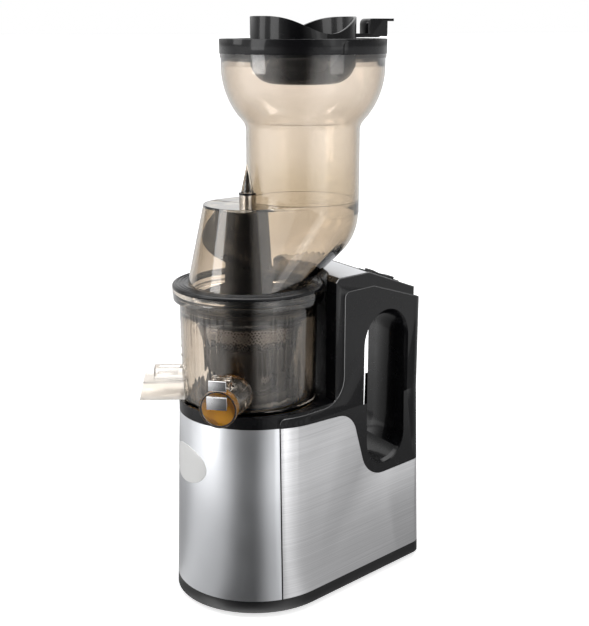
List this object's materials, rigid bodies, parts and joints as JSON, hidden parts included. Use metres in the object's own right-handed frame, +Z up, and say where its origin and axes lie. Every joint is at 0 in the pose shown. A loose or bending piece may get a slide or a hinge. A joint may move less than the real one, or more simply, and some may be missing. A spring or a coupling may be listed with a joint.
{
  "type": "cold press juicer",
  "caption": "Upright cold press juicer: steel-sided base with handle column and switch, clear bowl with spouts, brush cage, strainer and auger, wide hopper with tilting feed cup.",
  "frame": {"origin": "centre of the footprint box at the bottom of the feet", "axes": "+Z up, -Y the front with the spouts, +Y the handle, +X the side with the juice spout"},
  "size_m": [0.1446, 0.2442, 0.465],
  "materials": {
    "rubber": "matte",
    "black_matte": "fine texture",
    "black_gloss": "polished",
    "silver_paint": "satin silver",
    "brushed_steel": "brushed along the side",
    "zinc_plate": "cast and plated",
    "windings": "lacquered windings",
    "steel": "ground",
    "bronze": "sintered",
    "white_plastic": "moulded",
    "gear_plastic": "moulded",
    "board": "solder mask",
    "capacitor": "drawn can",
    "switch_plastic": "satin",
    "smoke_clear": "clear smoke tint",
    "amber_silicone": "soft",
    "grey_silicone": "soft",
    "charcoal_plastic": "moulded",
    "mesh_steel": "perforated",
    "auger_plastic": "satin"
  },
  "bodies": {
    "base": {"rubber_feet": "rubber", "base_plate": "black_matte", "base_shell": "black_matte", "front_panel": "silver_paint", "side_panel_right": "brushed_steel", "side_panel_left": "brushed_steel", "rear_panel": "black_matte", "cord_gland": "rubber", "motor_can": "zinc_plate", "stator": "windings", "motor_bushes": "bronze", "gearbox_case": "zinc_plate", "gearbox_cover": "zinc_plate", "layshaft_pin": "steel", "output_bush": "bronze", "frame_screws": "steel", "control_board": "board", "capacitor": "capacitor", "upper_housing": "black_gloss", "handle_cover_right": "black_gloss", "handle_cover_left": "black_gloss", "switch_bezel": "black_gloss"},
    "switch": {"rocker_switch": "switch_plastic"},
    "rotor": {"motor_rotor": "steel", "motor_fan": "white_plastic"},
    "layshaft": {"cluster_gear": "gear_plastic"},
    "output_shaft": {"output_gear": "steel"},
    "bowl": {"juice_bowl": "smoke_clear", "juice_spout": "smoke_clear", "pulp_spout": "smoke_clear", "bowl_seal": "amber_silicone", "idler_pin": "steel", "strainer_frame": "charcoal_plastic", "strainer_mesh": "mesh_steel", "cap_pin": "steel"},
    "idler": {"idler_gear": "steel"},
    "brush": {"brush_cage": "charcoal_plastic", "brush_strips": "grey_silicone"},
    "auger": {"auger": "auger_plastic", "auger_pin": "steel"},
    "cap": {"juice_cap": "smoke_clear", "cap_seal": "amber_silicone"},
    "hopper": {"hopper_lid": "smoke_clear", "feed_hopper": "smoke_clear", "lid_ring": "black_gloss", "top_bush": "steel", "lid_gasket": "grey_silicone", "hopper_ring": "black_gloss"},
    "flip_cup": {"flip_cup": "black_gloss", "flip_cup_pins": "steel"}
  },
  "joints": [
    {"name": "switch_rock", "type": "hinge", "parent": "base", "child": "switch", "pos_m": [-0.00528, 0.08803, 0.25286], "axis": [1, 0, 0], "range_deg": [-8, 8]},
    {"name": "motor_spin", "type": "hinge", "parent": "base", "child": "rotor", "pos_m": [-0.00528, -0.03662, 0.055], "axis": [0, 0, 1], "continuous": true},
    {"name": "layshaft_spin", "type": "hinge", "parent": "base", "child": "layshaft", "pos_m": [-0.00528, -0.00062, 0.105], "axis": [0, 0, 1], "continuous": true},
    {"name": "output_spin", "type": "hinge", "parent": "base", "child": "output_shaft", "pos_m": [-0.00528, -0.03662, 0.13], "axis": [0, 0, 1], "continuous": true},
    {"name": "bowl_lift", "type": "slide", "parent": "base", "child": "bowl", "axis": [0, 0, 1], "range_m": [0, 0.06]},
    {"name": "auger_spin", "type": "hinge", "parent": "bowl", "child": "auger", "pos_m": [-0.00528, -0.03662, 0.25], "axis": [0, 0, 1], "continuous": true},
    {"name": "idler_spin", "type": "hinge", "parent": "bowl", "child": "idler", "pos_m": [-0.00528, -0.01162, 0.175], "axis": [0, 0, 1], "continuous": true},
    {"name": "brush_spin", "type": "hinge", "parent": "bowl", "child": "brush", "pos_m": [-0.00528, -0.03662, 0.2], "axis": [0, 0, 1], "continuous": true},
    {"name": "cap_hinge", "type": "hinge", "parent": "bowl", "child": "cap", "pos_m": [0.05407, -0.09101, 0.204], "axis": [-0.6756, -0.7373, 0], "range_deg": [0, 110]},
    {"name": "lid_lift", "type": "slide", "parent": "bowl", "child": "hopper", "axis": [0, 0, 1], "range_m": [0, 0.11]},
    {"name": "cup_tilt", "type": "hinge", "parent": "hopper", "child": "flip_cup", "pos_m": [-0.00528, 0.01338, 0.4425], "axis": [1, 0, 0], "range_deg": [0, 75]}
  ],
  "couplings": [
    {"joint": "layshaft_spin", "follows": "motor_spin", "ratio": -0.2},
    {"joint": "output_spin", "follows": "motor_spin", "ratio": 0.04},
    {"joint": "auger_spin", "follows": "motor_spin", "ratio": 0.04},
    {"joint": "idler_spin", "follows": "motor_spin", "ratio": -0.04},
    {"joint": "brush_spin", "follows": "motor_spin", "ratio": -0.013333}
  ]
}
